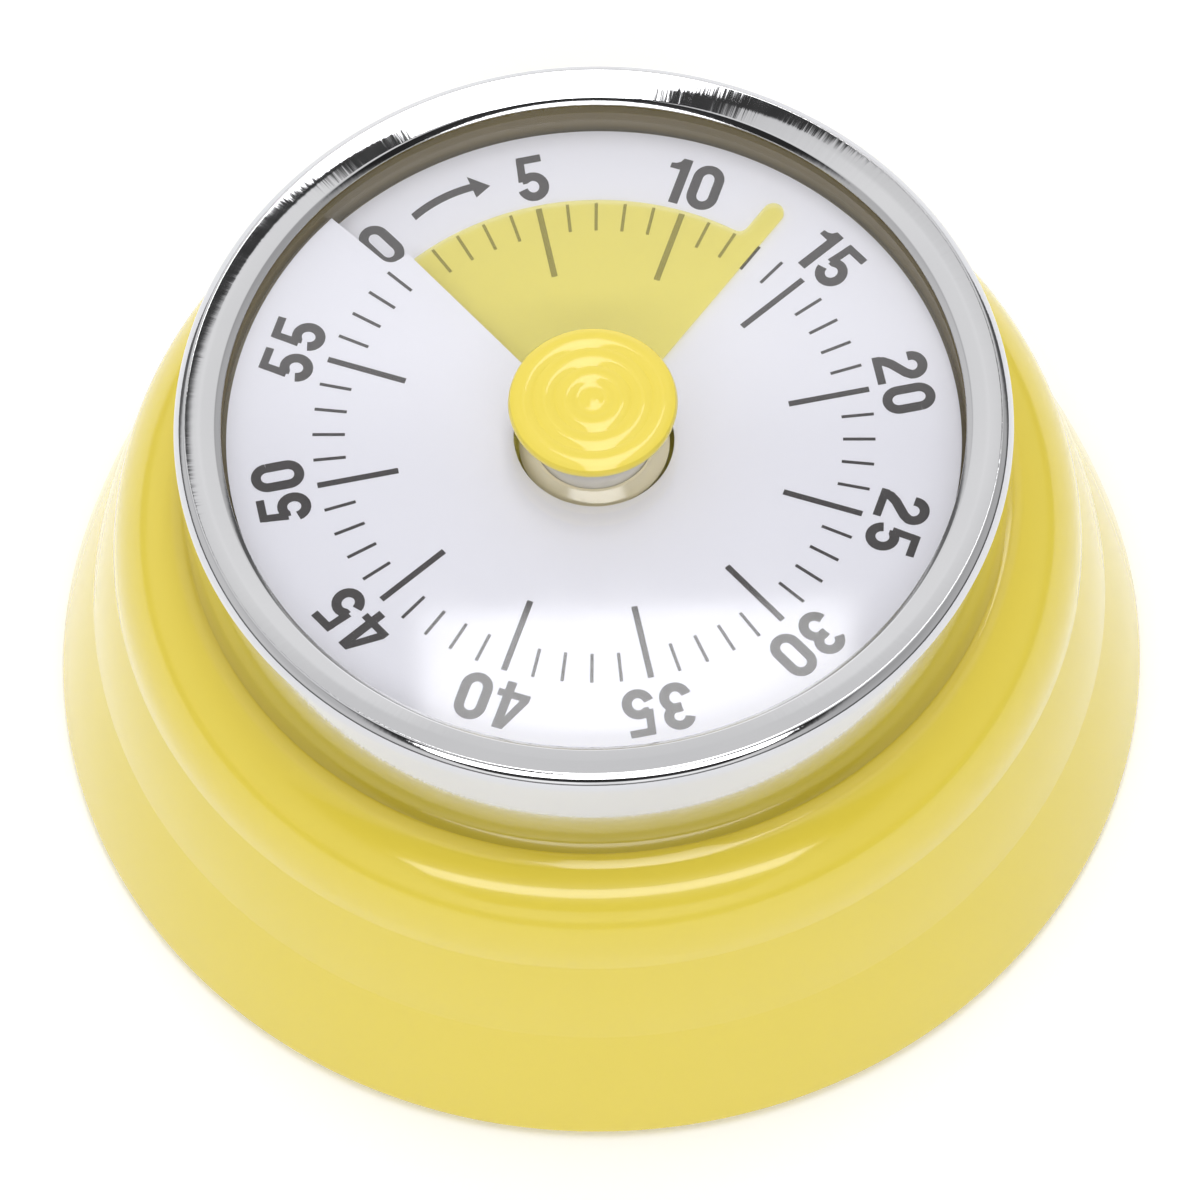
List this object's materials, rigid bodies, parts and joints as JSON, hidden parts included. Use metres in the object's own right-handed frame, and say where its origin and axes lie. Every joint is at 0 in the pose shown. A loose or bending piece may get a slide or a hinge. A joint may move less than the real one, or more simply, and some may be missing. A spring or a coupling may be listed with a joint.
{
  "type": "mechanical kitchen timer",
  "caption": "Free-standing magnetic minute timer: ribbed cone case, bright bezel, clear lens, and a coloured time disc that winds out through a slit in the dial when the knob is turned.",
  "frame": {"origin": "centre of the resting face, on the dial axis", "axes": "+Z along the dial axis, out of the lens; +Y away from the user, towards the top of the dial; +X to the right"},
  "size_m": [0.0842, 0.0842, 0.0393],
  "materials": {
    "body_yellow": "glossy moulded plastic, plain yellow",
    "chrome": "polished chrome plating",
    "clear_plastic": "clear polished acrylic",
    "back_plastic": "yellow plastic with a fine spark-eroded grain",
    "steel": "zinc plated steel",
    "magnet": "nickel plated magnet",
    "rubber": "matt non-slip rubber",
    "dial_white": "smooth white plastic sheet with dark grey printed minutes",
    "carrier_plastic": "smooth olive-tinted plastic",
    "disc_yellow": "translucent yellow plastic film",
    "plate_steel": "pressed plated steel sheet",
    "brass": "stamped brass",
    "spring_steel": "blued spring steel",
    "bell_steel": "nickel plated steel bell"
  },
  "bodies": {
    "case": {"housing_shell": "body_yellow", "bezel_ring": "chrome", "lens": "clear_plastic", "back_cover": "back_plastic", "case_screws": "steel", "magnets": "magnet", "grip_ring": "rubber", "dial": "dial_white", "dial_carrier": "carrier_plastic", "top_plate": "plate_steel", "back_plate": "plate_steel", "pillars": "steel", "pillar_screws": "steel", "movement_screws": "steel", "arbor_bush": "brass", "stop_post": "steel", "spring_post": "steel", "mainspring": "spring_steel", "bell": "bell_steel", "bell_stud": "brass", "bell_screw": "steel", "hammer_spring": "spring_steel"},
    "knob": {"knob_cap": "body_yellow", "knob_stem": "clear_plastic", "main_arbor": "steel", "slip_spring": "spring_steel", "clutch_collar": "brass", "strike_cam": "steel", "stop_disc": "steel"},
    "disc": {"time_disc": "disc_yellow", "disc_hub": "carrier_plastic"},
    "main_wheel": {"main_wheel": "brass"},
    "second_wheel": {"second_wheel": "brass", "second_pinion": "steel"},
    "third_wheel": {"third_wheel": "brass", "third_pinion": "steel"},
    "escape_wheel": {"escape_wheel": "brass", "escape_pinion": "steel"},
    "balance": {"pallet_lever": "steel", "balance_staff": "steel", "balance_bar": "steel"},
    "hammer": {"hammer_lever": "steel", "hammer_head": "brass"}
  },
  "joints": [
    {"name": "knob_turn", "type": "hinge", "parent": "case", "child": "knob", "pos_m": [0, 0, 0.0386], "axis": [0, 0, -1], "range_deg": [-78, 270]},
    {"name": "disc_climb", "type": "slide", "parent": "knob", "child": "disc", "axis": [0, 0, 1], "range_m": [-0.00037, 0.00125]},
    {"name": "third_wheel_turn", "type": "hinge", "parent": "case", "child": "third_wheel", "pos_m": [-0.00416, 0.01441, 0.0222], "axis": [0, 0, 1], "continuous": true},
    {"name": "second_wheel_turn", "type": "hinge", "parent": "case", "child": "second_wheel", "pos_m": [-0.01212, 0.007, 0.0201], "axis": [0, 0, 1], "continuous": true},
    {"name": "main_wheel_turn", "type": "hinge", "parent": "case", "child": "main_wheel", "pos_m": [0, 0, 0.0175], "axis": [0, 0, 1], "continuous": true},
    {"name": "escape_wheel_turn", "type": "hinge", "parent": "case", "child": "escape_wheel", "pos_m": [0.00542, 0.01505, 0.0245], "axis": [0, 0, 1], "continuous": true},
    {"name": "balance_swing", "type": "hinge", "parent": "case", "child": "balance", "pos_m": [0.01176, 0.01363, 0.0253], "axis": [0, 0, 1], "range_deg": [-9, 9]},
    {"name": "hammer_swing", "type": "hinge", "parent": "case", "child": "hammer", "pos_m": [0.0095, -0.01645, 0.022], "axis": [0, 0, -1], "range_deg": [0, 12], "stiffness_Nm_per_rad": 0.002, "springref_deg": -11.46}
  ],
  "couplings": [
    {"joint": "disc_climb", "follows": "knob_turn", "m_per_rad": 0.00026101},
    {"joint": "second_wheel_turn", "follows": "third_wheel_turn", "ratio": -0.13333},
    {"joint": "main_wheel_turn", "follows": "third_wheel_turn", "ratio": 0.014815},
    {"joint": "escape_wheel_turn", "follows": "third_wheel_turn", "ratio": -7}
  ]
}
